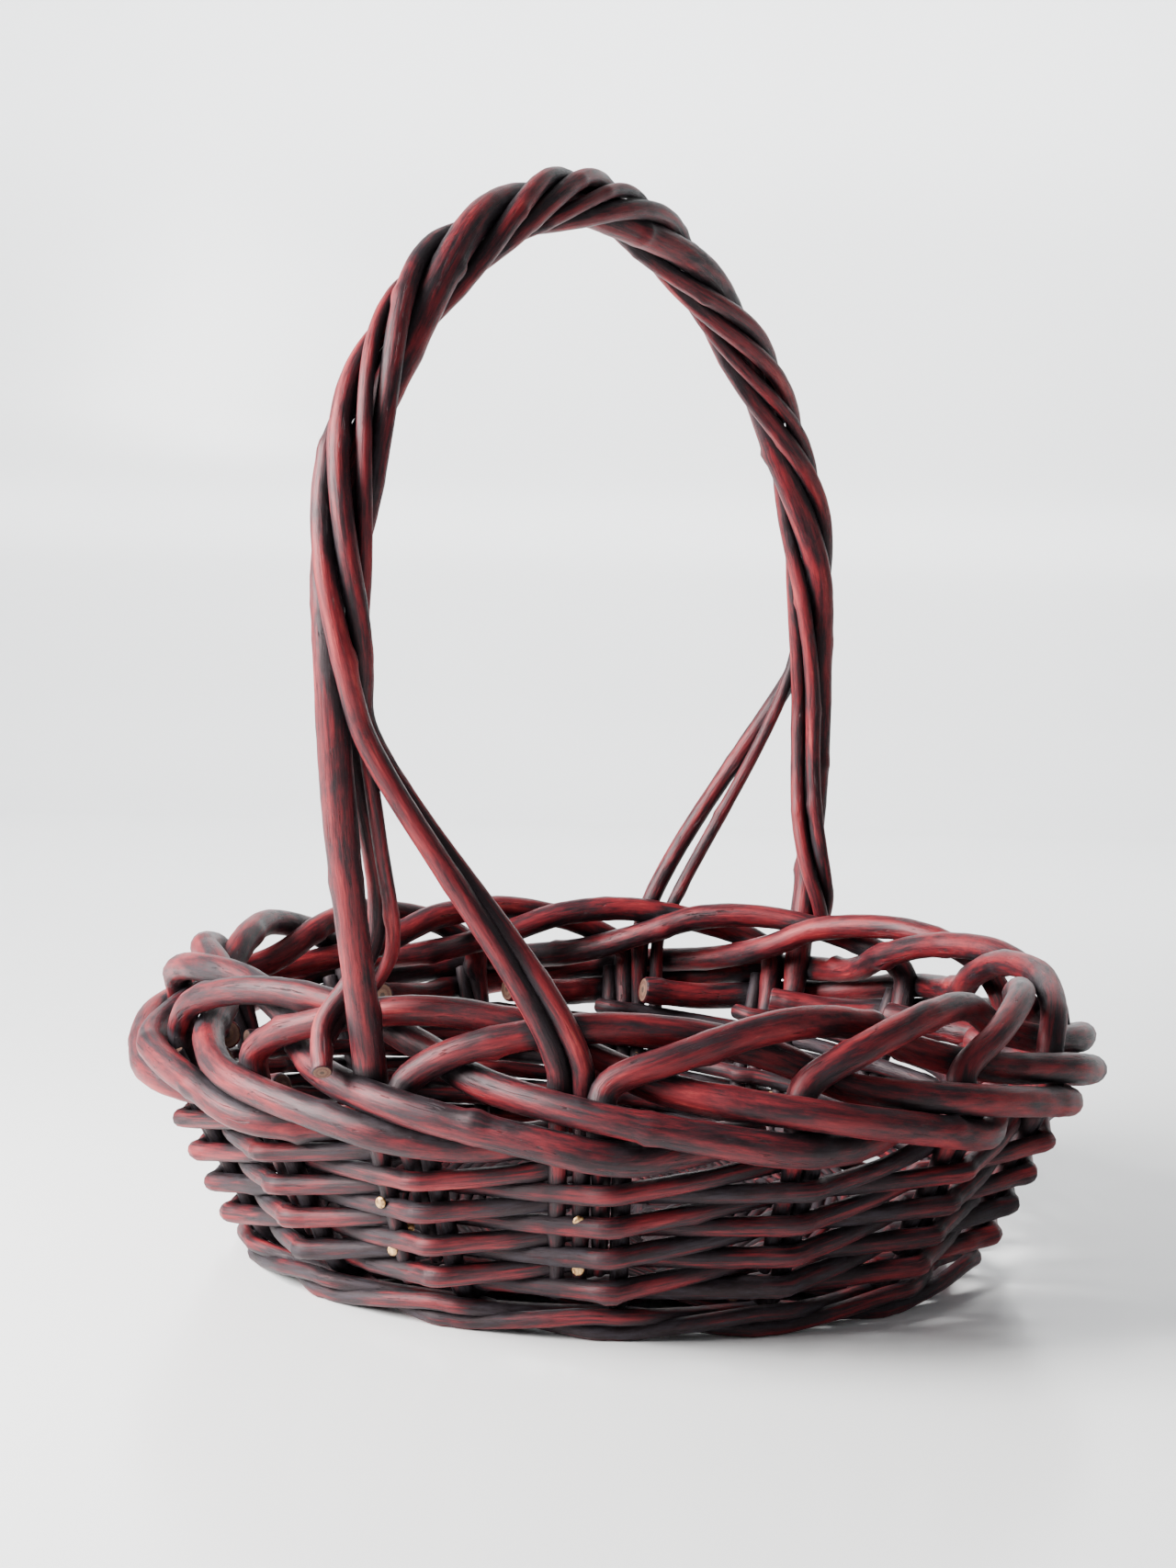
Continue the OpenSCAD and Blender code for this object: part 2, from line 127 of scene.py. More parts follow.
studio = {
    "colour": (0.90, 0.905, 0.91),
    "shade": 0.97,  # darkest patches, as a share of the colour
    "roughness": 0.22,
    "specular": 0.4,
    "size": 6.0,
    "wallBehind": 1.9,  # distance of the backdrop from the basket
    "bend": 0.5,
    "bendSteps": 14,
    "wallHeight": 3,
    "air": (0.80, 0.83, 0.86),
    "airStrength": 0.37,
}

lamps = {
    "window": {
        "place": (-1.10, -0.36, 0.78), "aim": (0, 0, 0.15),
        "power": 112, "size": (0.8, 1.0), "colour": (1.0, 0.99, 0.97),
    },
    "backdropLight": {
        "place": (0.0, 1.0, 1.35), "aim": (0, 2.4, 0.6),
        "power": 78, "size": (3.0, 0.5), "colour": (0.97, 0.985, 1.0),
    },
    "fill": {
        "place": (0.9, -1.6, 1.1), "aim": (0, 0, 0.15),
        "power": 0.5, "size": (1.4, 1.0), "colour": (1.0, 0.98, 0.96),
    },
}


def makeTable():
    mat, tree, shader = newMaterial("paleTable")
    place = addNode(tree, "ShaderNodeTexCoord").outputs["Object"]
    speck = addNode(tree, "ShaderNodeTexNoise", {"Vector": place, "Scale": 3.0, "Detail": 4.0}).outputs["Fac"]
    shaded = tuple(c * studio["shade"] for c in studio["colour"])
    colour = rampOn(tree, speck, [(0.3, shaded), (0.7, studio["colour"])])
    tree.links.new(colour, shader.inputs["Base Color"])
    shader.inputs["Roughness"].default_value = studio["roughness"]
    shader.inputs["Specular IOR Level"].default_value = studio["specular"]

    # a flat table that curves up into the backdrop
    bm = bmesh.new()
    half = studio["size"] / 2
    bmesh.ops.create_grid(bm, x_segments=1, y_segments=1, size=half)
    bmesh.ops.translate(bm, vec=(0, studio["wallBehind"] - half, 0), verts=bm.verts)
    edge = [e for e in bm.edges if all(v.co.y > studio["wallBehind"] - 0.01 for v in e.verts)]
    for k in range(studio["bendSteps"]):
        grown = bmesh.ops.extrude_edge_only(bm, edges=edge)["geom"]
        verts = [g for g in grown if isinstance(g, bmesh.types.BMVert)]
        edge = [g for g in grown if isinstance(g, bmesh.types.BMEdge) and g.is_boundary]
        turn = (k + 0.5) * pi / 2 / studio["bendSteps"]
        length = studio["bend"] * pi / 2 / studio["bendSteps"]
        bmesh.ops.translate(bm, vec=(0, length * cos(turn), length * sin(turn)), verts=verts)
    grown = bmesh.ops.extrude_edge_only(bm, edges=edge)["geom"]
    verts = [g for g in grown if isinstance(g, bmesh.types.BMVert)]
    bmesh.ops.translate(bm, vec=(0, 0, studio["wallHeight"]), verts=verts)
    bmesh.ops.recalc_face_normals(bm, faces=bm.faces)
    mesh = bpy.data.meshes.new("table")
    bm.to_mesh(mesh)
    bm.free()
    for face in mesh.polygons:
        face.use_smooth = True
    mesh.materials.append(mat)
    table = bpy.data.objects.new("table", mesh)
    bpy.context.scene.collection.objects.link(table)


def makeLight():
    for name, lamp in lamps.items():
        data = bpy.data.lights.new(name, "AREA")
        data.energy = lamp["power"]
        data.shape = "RECTANGLE"
        data.size, data.size_y = lamp["size"]
        data.color = lamp["colour"]
        obj = bpy.data.objects.new(name, data)
        obj.location = lamp["place"]
        facing = Vector(lamp["aim"]) - Vector(lamp["place"])
        obj.rotation_euler = facing.to_track_quat("-Z", "Y").to_euler()
        bpy.context.scene.collection.objects.link(obj)
    world = bpy.data.worlds.new("air")
    world.use_nodes = True
    back = world.node_tree.nodes["Background"]
    back.inputs["Color"].default_value = (*studio["air"], 1)
    back.inputs["Strength"].default_value = studio["airStrength"]
    bpy.context.scene.world = world


makeTable()
makeLight()
print("camera, table and lights made")

# stain colours, dark to light

stain = {
    "black": (0.0045, 0.0035, 0.0048),
    "slateFilmAndSheen": (0.036, 0.034, 0.043),  # thin blue-grey film of the dark glaze, also a painted blue-grey sheen
    "plum": (0.028, 0.0060, 0.0088),
    "burgundy": (0.086, 0.0085, 0.0125),
    "crimson": (0.178, 0.0125, 0.0170),
    "rubbed": (0.330, 0.0440, 0.0400),
    "raw": (0.450, 0.260, 0.130),
}


def makeStainedWood(name, dark, shine, filmAndSheenAmount):
    mat, tree, shader = newMaterial(name)
    link = tree.links.new
    place = addNode(tree, "ShaderNodeAttribute", attribute_name="rodPlace").outputs["Vector"]
    glazeAndShade = addNode(tree, "ShaderNodeAttribute", attribute_name="glazeAndShade").outputs["Fac"]
    tone = addNode(tree, "ShaderNodeAttribute", attribute_name="tone").outputs["Fac"]

    def stretched(across, along):
        node = addNode(tree, "ShaderNodeMapping", {"Vector": place, "Scale": (across, across, along)})
        return node.outputs["Vector"]

    def grain(across, along, detail, roughness, distortion=0.0):
        node = addNode(tree, "ShaderNodeTexNoise", {
            "Vector": stretched(across, along), "Scale": 1.0, "Detail": detail, "Roughness": roughness,
            "Distortion": distortion,
        })
        return node.outputs["Fac"]

    def spread(value, low, high, least=0.0, most=1.0):
        node = addNode(tree, "ShaderNodeMapRange", {
            "Value": value, "From Min": low, "From Max": high, "To Min": least, "To Max": most,
        })
        return node.outputs[0]

    # brushed stain: long streaks, larger patches where the glaze was wiped off, and fine bark lines
    streak = grain(620, 28, 8.0, 0.74)
    patch = grain(190, 22, 7.0, 0.70, 0.5)
    line = grain(1900, 60, 4.0, 0.7)
    film = grain(330, 75, 6.0, 0.72)
    fissure = grain(700, 18, 3.0, 0.5)

    brushed = mathOn(tree, "MULTIPLY", spread(streak, 0.36, 0.64), 0.52)
    wiped = mathOn(tree, "MULTIPLY", spread(patch, 0.38, 0.62), 0.44)
    level = mathOn(tree, "ADD", brushed, wiped)
    level = mathOn(tree, "ADD", level, mathOn(tree, "MULTIPLY", tone, 0.34))
    # painted shade: the stain is darker where rods touch or pass close, together with the glaze gathered there
    level = mathOn(tree, "SUBTRACT", level, mathOn(tree, "MULTIPLY", glazeAndShade, 0.62))
    level = mathOn(tree, "SUBTRACT", level, 0.265 + dark, clamp=True)
    colour = rampOn(tree, level, [
        (0.10, stain["black"]), (0.27, stain["plum"]), (0.44, stain["burgundy"]), (0.68, stain["crimson"]),
        (0.98, stain["rubbed"]),
    ])
    # dusty film where the glaze lies thick and where shade is painted deepest; this blue-grey film is partly a
    # painted sheen
    thick = mathOn(tree, "MULTIPLY", mathOn(tree, "SUBTRACT", 0.36, level, clamp=True), 3.4, clamp=True)
    cloud = rampOn(tree, film, [(0.44, (0, 0, 0)), (0.68, (1, 1, 1))])
    filmAndSheen = mathOn(tree, "MULTIPLY", thick, cloud)
    colour = mixColour(tree, mathOn(tree, "MULTIPLY", filmAndSheen, filmAndSheenAmount), colour, stain["slateFilmAndSheen"])
    # fine lengthwise fissures in the bark
    split = mathOn(tree, "ABSOLUTE", mathOn(tree, "SUBTRACT", fissure, 0.5))
    split = rampOn(tree, split, [(0.0, (1, 1, 1)), (0.012, (0, 0, 0))])
    split = mathOn(tree, "MULTIPLY", split, mathOn(tree, "GREATER_THAN", film, 0.5))
    colour = mixColour(tree, mathOn(tree, "MULTIPLY", split, 0.7), colour, stain["black"])
    # here and there the wood shows through
    worn = rampOn(tree, line, [(0.66, (0, 0, 0)), (0.74, (1, 1, 1))])
    worn = mathOn(tree, "MULTIPLY", worn, mathOn(tree, "SUBTRACT", level, 0.55, clamp=True))
    colour = mixColour(tree, mathOn(tree, "MULTIPLY", worn, 1.6, clamp=True), colour, stain["raw"])
    link(colour, shader.inputs["Base Color"])

    rough = spread(streak, 0.3, 0.7, shine, shine + 0.16)
    rough = mathOn(tree, "ADD", rough, mathOn(tree, "MULTIPLY", filmAndSheen, 0.25))
    link(rough, shader.inputs["Roughness"])
    shader.inputs["Specular IOR Level"].default_value = 0.34
    shader.inputs["Specular Tint"].default_value = (1.0, 0.74, 0.77, 1)
    shader.inputs["Coat Weight"].default_value = 0.03
    shader.inputs["Coat Roughness"].default_value = 0.3

    height = mathOn(tree, "ADD", mathOn(tree, "MULTIPLY", line, 0.35), mathOn(tree, "MULTIPLY", streak, 0.5))
    height = mathOn(tree, "SUBTRACT", height, mathOn(tree, "MULTIPLY", split, 0.5))
    bump = addNode(tree, "ShaderNodeBump", {"Strength": 0.7, "Distance": 0.0008, "Height": height})
    link(bump.outputs["Normal"], shader.inputs["Normal"])
    return mat


def makeCutWood():
    mat, tree, shader = newMaterial("cutWood")
    link = tree.links.new
    place = addNode(tree, "ShaderNodeAttribute", attribute_name="rodPlace").outputs["Vector"]
    flat = addNode(tree, "ShaderNodeVectorMath", {0: place, 1: (1, 1, 0)}, operation="MULTIPLY")
    away = addNode(tree, "ShaderNodeVectorMath", {0: flat.outputs["Vector"]}, operation="LENGTH").outputs["Value"]
    blur = addNode(tree, "ShaderNodeTexNoise", {"Vector": place, "Scale": 700.0, "Detail": 3.0}).outputs["Fac"]
    # year rings, a little uneven
    wave = mathOn(tree, "ADD", mathOn(tree, "MULTIPLY", away, 5200), mathOn(tree, "MULTIPLY", blur, 6))
    ring = mathOn(tree, "SINE", wave)
    ring = mathOn(tree, "MULTIPLY", mathOn(tree, "ADD", ring, 1), 0.5)
    wood = rampOn(tree, ring, [(0.0, (0.15, 0.07, 0.04)), (1.0, (0.30, 0.17, 0.095))])
    # stain has soaked into part of the cut
    soaked = rampOn(tree, blur, [(0.36, (0, 0, 0)), (0.54, (1, 1, 1))])
    colour = mixColour(tree, mathOn(tree, "MULTIPLY", soaked, 0.85), wood, (0.07, 0.02, 0.02))
    pith = mathOn(tree, "LESS_THAN", away, 0.0006)
    colour = mixColour(tree, pith, colour, (0.05, 0.03, 0.02))
    link(colour, shader.inputs["Base Color"])
    shader.inputs["Roughness"].default_value = 0.75
    bump = addNode(tree, "ShaderNodeBump", {"Strength": 0.4, "Distance": 0.0004, "Height": ring})
    link(bump.outputs["Normal"], shader.inputs["Normal"])
    return mat


def makeNailBrass():
    mat, tree, shader = newMaterial("nailBrass")
    place = addNode(tree, "ShaderNodeTexCoord").outputs["Object"]
    spot = addNode(tree, "ShaderNodeTexNoise", {"Vector": place, "Scale": 900.0, "Detail": 3.0}).outputs["Fac"]
    tarnish, dull, bright = (0.20, 0.10, 0.05), (0.62, 0.38, 0.17), (0.80, 0.56, 0.28)
    colour = rampOn(tree, spot, [(0.35, tarnish), (0.55, dull), (0.8, bright)])
    tree.links.new(colour, shader.inputs["Base Color"])
    shader.inputs["Metallic"].default_value = 1.0
    rough = addNode(tree, "ShaderNodeMapRange", {"Value": spot, "To Min": 0.28, "To Max": 0.6})
    tree.links.new(rough.outputs[0], shader.inputs["Roughness"])
    return mat


finishes = {
    "red": makeStainedWood("burgundyStain", 0.0, 0.40, 0.5),
    "dark": makeStainedWood("blackGlazeStain", 0.16, 0.44, 0.85),
    "handle": makeStainedWood("handleStain", -0.03, 0.38, 0.3),
    "base": makeStainedWood("baseStain", -0.02, 0.55, 0.5),
}
cutWood = makeCutWood()
nailBrass = makeNailBrass()
print("finishes made")

# sizes that several pieces share, in metres

stakeCount = 16
stepTurn = 2 * pi / stakeCount
base = {
    "lift": 0.0025,  # of the underside above the table
    "bareCross": 0.020, "slitStick": 0.008, "throughStick": 0.006, "weaver": 0.005, "sticksEachWay": 4,
}
wall = {
    "foot": 0.141, "flare": radians(27), "stake": 0.007, "weaver": 0.0064, "wale": 0.0062, "gap": 0.0001,
    "strokes": 8,  # stakes that a side weaver passes
}
rim = {"butt": 0.0116, "bend": 0.00963, "tail": 0.0066, "tailLength": 0.042}
handle = {
    "height": 0.420, "bulge": 0.0195, "shoulder": 0.271, "lean": 0.032, "uprightLean": 0.06, "turns": 4.42,
    "bow": 0.012, "wrapA": 0.008, "wrapB": 0.0084, "wrapC": 0.006, "tail": 0.0066,
}
slack = 0.0003  # air between rods that pass each other
thicken = 0.02  # length of rod over which a handle rod's pointed end swells to its full width

rowPitch = wall["weaver"] + wall["gap"]
stickHeight = base["lift"] + base["weaver"] + base["slitStick"] / 2
waleLow = wall["wale"] / 2
waleHigh = waleLow * cos(pi / 6) + wall["wale"] + slack
weaveFoot = waleHigh + rowPitch
wallTop = weaveFoot + rowPitch * wall["strokes"]
rimPitch = rim["butt"] - 0.0002


def wallRadius(z):
    return wall["foot"] + z * tan(wall["flare"])


def at(radius, turn, z):
    return Vector((radius * cos(turn), radius * sin(turn), z))


def arcTurn(distance, z):
    return distance / wallRadius(z)


def mix(a, b, t):
    return a + (b - a) * t


def ease(t):
    c = min(max(t, 0), 1)
    return c * c * (3 - 2 * c)


pairWidth = wall["stake"] + rim["tail"] + slack
stakeShift = (pairWidth - wall["stake"]) / 2
tailShift = -(pairWidth - rim["tail"]) / 2
footShift = -(pairWidth + handle["tail"]) / 2 - slack
pairPitch = max(handle["wrapA"], (handle["wrapB"] + handle["wrapC"]) / 2)
nextFootShift = footShift - pairPitch - slack
bowShift = footShift - handle["tail"]
secondBowStake = 3
firstBowStake = secondBowStake + stakeCount // 2

# stake, distance from it along the wall, and full width of each handle rod's foot
feet = [
    (firstBowStake, bowShift, handle["bow"]), (secondBowStake, bowShift, handle["bow"]),
    (firstBowStake + 1, footShift, handle["wrapA"]), (firstBowStake + 1, nextFootShift, handle["wrapA"]),
    (secondBowStake + 1, footShift, handle["wrapB"]), (secondBowStake + 1, nextFootShift, handle["wrapC"]),
]


def footRadius(z):
    return wallRadius(min(z, wallTop)) + handle["uprightLean"] * max(z - wallTop, 0)


def clearRadius(radius, turn, z, width):
    # keeps a weaving rod out of the space that the handle's feet take
    need = 0
    for stake, shift, fullWidth in feet:
        footWidth = mix(handle["tail"], fullWidth, ease((z - wallTop) / thicken))
        near = (footWidth + width) / 2 + slack
        away = turn - stake * stepTurn - arcTurn(shift, min(z, wallTop))
        gap = ((away + pi) % (2 * pi) - pi) * footRadius(z)
        if abs(gap) < near:
            need = max(need, sqrt(near * near - gap * gap))
    middle = footRadius(z)
    if not need:
        return radius
    return min(radius, middle - need) if radius < middle else max(radius, middle + need)


allRods = []  # object, ring centres, ring widths and sides of every rod
joinedRods = []  # the same without the object, for rods that are part of a joined mesh


def evenPath(knots, widths, spacing, closed=False):
    # smooth curve through the knots, then evenly spaced rings along it
    pts = np.array([tuple(k) for k in knots])
    wid = np.array(widths)
    count = len(pts)
    fine = 10
    spots, sizes = [], []
    last = count if closed else count - 1
    for i in range(last):
        around = range(i - 1, i + 3)
        a, b, c, d = [pts[j % count] if closed else pts[min(max(j, 0), count - 1)] for j in around]
        for k in range(fine):
            t = k / fine
            bent = (2 * a - 5 * b + 4 * c - d) * t * t + (3 * b - a - 3 * c + d) * t ** 3
            spots.append(0.5 * ((2 * b) + (c - a) * t + bent))
            sizes.append(mix(wid[i], wid[(i + 1) % count], t))
    spots.append(pts[0] if closed else pts[-1])
    sizes.append(wid[0] if closed else wid[-1])
    spots, sizes = np.array(spots), np.array(sizes)
    lengths = np.concatenate([[0], np.cumsum(np.linalg.norm(np.diff(spots, axis=0), axis=1))])
    total = lengths[-1]
    rings = max(int(round(total / spacing)), 3)
    marks = np.linspace(0, total, rings + 1)
    even = np.stack([np.interp(marks, lengths, spots[:, k]) for k in range(3)], axis=1)
    return even, np.interp(marks, lengths, sizes), marks


willow = {
    "swell": 0.05, "swellRate": 24, "uneven": 0.035, "unevenRate": 170, "unevenRound": 1.6,
    "budAt": (0.035, 0.10), "firstBud": (0.01, 0.06), "budSize": (0.10, 0.26), "budLength": (0.0022, 0.0042),
    "budBelt": 0.25,  # share of a bud's height that runs right round the rod
    "endSteps": ((0.10, 0.96), (0.06, 0.90)),  # reach and narrowing of the worn edge of a cut
    "cutDome": 0.02,
    "patternShift": 1.37,  # every rod takes its own stretch of the stain pattern
}


def makeRod(name, knots, widths, finish, sides=14, spacing=0.003, tone=0.5, seed=0, closed=False, bark=1.0):
    path, sizes, marks = evenPath(knots, widths, spacing, closed)
    if closed:
        path, sizes, marks = path[:-1], sizes[:-1], marks[:-1]
    chance = random.Random(seed)
    points = [Vector(p) for p in path]
    count = len(points)
    ways = []
    for i in range(count):
        before = points[i - 1] if (closed or i > 0) else points[0]
        after = points[(i + 1) % count] if (closed or i < count - 1) else points[-1]
        ways.append((after - before).normalized())
    side = ways[0].orthogonal().normalized()
    places = []
    for i in range(count):
        side = (side - ways[i] * side.dot(ways[i])).normalized()
        third = ways[i].cross(side)
        r = sizes[i] / 2
        places.append(Matrix((
            (side.x * r, third.x * r, ways[i].x, points[i].x),
            (side.y * r, third.y * r, ways[i].y, points[i].y),
            (side.z * r, third.z * r, ways[i].z, points[i].z),
            (0, 0, 0, 1),
        )))

    bm = bmesh.new()
    rodPlace = bm.verts.layers.float_vector.new("rodPlace")
    shift = seed * willow["patternShift"]
    bmesh.ops.create_circle(bm, cap_ends=False, segments=sides, radius=1)
    for v in bm.verts:
        v[rodPlace] = (v.co.x * sizes[0] / 2, v.co.y * sizes[0] / 2, shift)
    bmesh.ops.transform(bm, matrix=places[0], verts=bm.verts)
    firstEdge = list(bm.edges)
    lastEdge = firstEdge
    rings = [list(bm.verts)]
    for i in range(1, count):
        made = bmesh.ops.extrude_edge_only(bm, edges=lastEdge)["geom"]
        verts = [g for g in made if isinstance(g, bmesh.types.BMVert)]
        lastEdge = [g for g in made if isinstance(g, bmesh.types.BMEdge) and g.is_boundary]
        bmesh.ops.transform(bm, matrix=places[i] @ places[i - 1].inverted(), verts=verts)
        for v in verts:
            old = v[rodPlace]
            v[rodPlace] = (old.x, old.y, shift + marks[i])
        rings.append(verts)

    # slow swelling, uneven bark and buds
    buds = []
    spot = chance.uniform(*willow["firstBud"])
    while spot < marks[-1]:
        turn = chance.uniform(0, 2 * pi)
        size = chance.uniform(*willow["budSize"])
        length = chance.uniform(*willow["budLength"])
        buds.append((spot, turn, size, length))
        spot += chance.uniform(*willow["budAt"])
    for i, verts in enumerate(rings):
        r = sizes[i] / 2
        swell = willow["swell"] * noise.noise(Vector((seed * 3.1, 0.5, marks[i] * willow["swellRate"])))
        for v in verts:
            p = v[rodPlace]
            around = Vector((p.x, p.y)).normalized()
            wide = willow["unevenRound"]
            place = Vector((around.x * wide, around.y * wide, p.z * willow["unevenRate"]))
            bump = willow["uneven"] * noise.noise(place)
            for where, turn, size, length in buds:
                if abs(marks[i] - where) < 3 * length:
                    facing = max(around.x * cos(turn) + around.y * sin(turn), 0)
                    hill = 2.718 ** (-((marks[i] - where) / length) ** 2)
                    bump += size * (willow["budBelt"] + facing ** 3) * hill
            v.co += (v.co - points[i]).normalized() * r * bark * (swell + bump)

    cutFaces = []
    if closed:
        bmesh.ops.bridge_loops(bm, edges=firstEdge + lastEdge)
    else:
        for edges, way, i in ((firstEdge, -ways[0], 0), (lastEdge, ways[-1], count - 1)):
            for reach, shrink in willow["endSteps"]:
                made = bmesh.ops.extrude_edge_only(bm, edges=edges)["geom"]
                verts = [g for g in made if isinstance(g, bmesh.types.BMVert)]
                edges = [g for g in made if isinstance(g, bmesh.types.BMEdge) and g.is_boundary]
                middle = sum((v.co for v in verts), Vector()) / len(verts)
                bmesh.ops.scale(bm, vec=(shrink,) * 3, space=Matrix.Translation(-middle), verts=verts)
                bmesh.ops.translate(bm, vec=way * sizes[i] / 2 * reach, verts=verts)
            face = bmesh.ops.contextual_create(bm, geom=edges)["faces"]
            poked = bmesh.ops.poke(bm, faces=face)
            for v in poked["verts"]:
                v[rodPlace] = (0, 0, shift)
                v.co += way * sizes[i] * willow["cutDome"]
            cutFaces += poked["faces"]
    for face in bm.faces:
        face.smooth = True
    for face in cutFaces:
        face.smooth = False
        face.material_index = 1
    bmesh.ops.recalc_face_normals(bm, faces=bm.faces)

    mesh = bpy.data.meshes.new(name)
    bm.to_mesh(mesh)
    bm.free()
    mesh.materials.append(finishes[finish])
    mesh.materials.append(cutWood)
    shade = mesh.attributes.new("tone", "FLOAT", "POINT")
    shade.data.foreach_set("value", [tone] * len(mesh.vertices))
    obj = bpy.data.objects.new(name, mesh)
    bpy.context.scene.collection.objects.link(obj)
    allRods.append((obj, path, sizes, sides))
    return obj


def finishRod(obj, slotName, *nodes):
    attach(obj, "root")
    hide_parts(*nodes)


def wander(seed, place, amount):
    return amount * noise.noise(Vector((seed * 7.7 + 0.3, place, 4.2)))


waleReach = (wall["stake"] + wall["wale"]) / 2 + slack
stickEnd = wall["foot"] - waleReach - wall["wale"] / 2 - slack


def stickTip(i):
    turn = i * stepTurn - asin((base["slitStick"] - stakeShift) / stickEnd)
    return at(stickEnd, turn, stickHeight)


def makeBaseSticks():
    # each stick runs straight through the middle and bends to its place at the wall on either side
    pitch = base["slitStick"] + slack
    spokes = []
    groups = {"through_sticks": [], "slit_sticks": []}
    for k in range(base["sticksEachWay"]):
        off = (k - (base["sticksEachWay"] - 1) / 2) * pitch
        cross = base["bareCross"]
        east, west = Vector((cross, off, stickHeight)), Vector((-cross, off, stickHeight))
        north, south = Vector((off, cross, stickHeight)), Vector((off, -cross, stickHeight))
        groups["through_sticks"].append((east, west, k - 2, 9 - k, base["throughStick"]))
        groups["slit_sticks"].append((north, south, 5 - k, 10 + k, base["slitStick"]))
    seed = 300
    for node, sticks in groups.items():
        made = []
        for near, far, first, last, width in sticks:
            seed += 1
            start, end = stickTip(first), stickTip(last)
            knots = [start, start.lerp(near, 0.5), start.lerp(near, 0.93)]
            knots += [near.lerp(far, 0.08), near.lerp(far, 0.5), near.lerp(far, 0.92)]
            knots += [end.lerp(far, 0.93), end.lerp(far, 0.5), end]
            widths = [width] * len(knots)
            made.append(makeRod("stick", knots, widths, "base", sides=12, spacing=0.004, tone=0.4, seed=seed))
            spokes += [(start, near), (end, far)]
        joined = joinRods("throughSticks" if node == "through_sticks" else "slitSticks", made)
        finishRod(joined, "base_rod", node)
    return spokes


def joinRods(name, rods):
    # several rods of one piece become one mesh
    bm = bmesh.new()
    for rod in rods:
        bm.from_mesh(rod.data)
    mesh = bpy.data.meshes.new(name)
    bm.to_mesh(mesh)
    bm.free()
    for mat in rods[0].data.materials:
        mesh.materials.append(mat)
    joined = bpy.data.objects.new(name, mesh)
    bpy.context.scene.collection.objects.link(joined)
    for rod in rods:
        for entry in [e for e in allRods if e[0] is rod]:
            allRods.remove(entry)
            joinedRods.append(entry[1:])
        bpy.data.objects.remove(rod)
    return joined


def makeBaseWeave(spokes):
    # pairing: two rods go round together, one over and one under each stick, and change sides between sticks
    first = base["bareCross"] + base["slitStick"] + base["weaver"]
    pitch = base["weaver"] + slack
    lift = (base["slitStick"] + base["weaver"]) / 2
    made = []
    radius, row = first, 0
    while radius <= stickEnd - base["weaver"]:
        turns = []
        for tip, near in spokes:
            lo, hi = 0.0, 1.0
            for _ in range(20):
                t = (lo + hi) / 2
                if near.lerp(tip, t).xy.length < radius:
                    lo = t
                else:
                    hi = t
            spot = near.lerp(tip, lo)
            turns.append(np.arctan2(spot.y, spot.x) % (2 * pi))
        turns.sort()
        for strand in (0, 1):
            knots = []
            for i, turn in enumerate(turns):
                after = turns[(i + 1) % len(turns)] + (2 * pi if i == len(turns) - 1 else 0)
                over = 1 if (i + strand + row) % 2 == 0 else -1
                knots.append(at(radius, turn, stickHeight + over * lift))
                knots.append(at(radius + over * base["weaver"] * 0.36, (turn + after) / 2, stickHeight))
            tone = 0.35 + 0.3 * ((row * 7) % 5) / 5
            made.append(makeRod("round", knots, [base["weaver"] * 0.98] * len(knots), "base", sides=8,
                                spacing=0.0045, tone=tone, seed=340 + row * 2 + strand, closed=True))
        radius += pitch
        row += 1
    finishRod(joinRods("baseWeave", made), "base_rod", "base_weave")


spokes = makeBaseSticks()
makeBaseWeave(spokes)
print("base made")

weaveReach = (wall["stake"] + wall["weaver"]) / 2 + slack * 2
halfFlat = pairWidth / 2 / (2 * pi * wall["foot"] / stakeCount)


def stroke(p):
    n = round(p)
    away = abs(p - n)
    side = -1 if n % 2 == 0 else 1
    return side * (1 if away <= halfFlat + 1e-6 else (0.5 - away) / (0.5 - halfFlat))


def makeStakes():
    # each stake lies beside a base stick, turns up at the wall's foot and stops inside the border
    top = wallTop + 1.6 * rimPitch
    edge = wallRadius(stickHeight)
    upright = stickHeight + 0.006
    bendIn = ((0.042, 0), (0.012, 0), (0.003, 0.0008))
    for i in range(stakeCount):
        turn = i * stepTurn
        side = Vector((-sin(turn), cos(turn), 0)) * stakeShift
        knots = [at(edge - inward, turn, stickHeight + rise) + side for inward, rise in bendIn]
        knots.append(at(wallRadius(upright), turn, upright) + side)
        for z in (0.03, 0.045, 0.06):
            knots.append(at(wallRadius(z) + wander(i, z * 80, 0.0006), turn, z) + side)
        knots.append(at(wallRadius(top), turn, top) + side)
        widths = [wall["stake"]] * len(knots)
        tone = 0.3 + 0.4 * (i % 3) / 2
        obj = makeRod(f"stake{i + 1:02d}", knots, widths, "dark", sides=12, tone=tone, seed=1 + i)
        finishRod(obj, "dark_rod", f"stake_{i + 1:02d}")


randing = {
    "settle": 0.0013, "wander": 0.0008, "thick": (1.26, 1.12),  # at the cut end and at the thin end
    "between": 0.92,  # width between two stakes, as a share of that at a stake
    "crest": 0.0027, "flank": -0.0012,
}


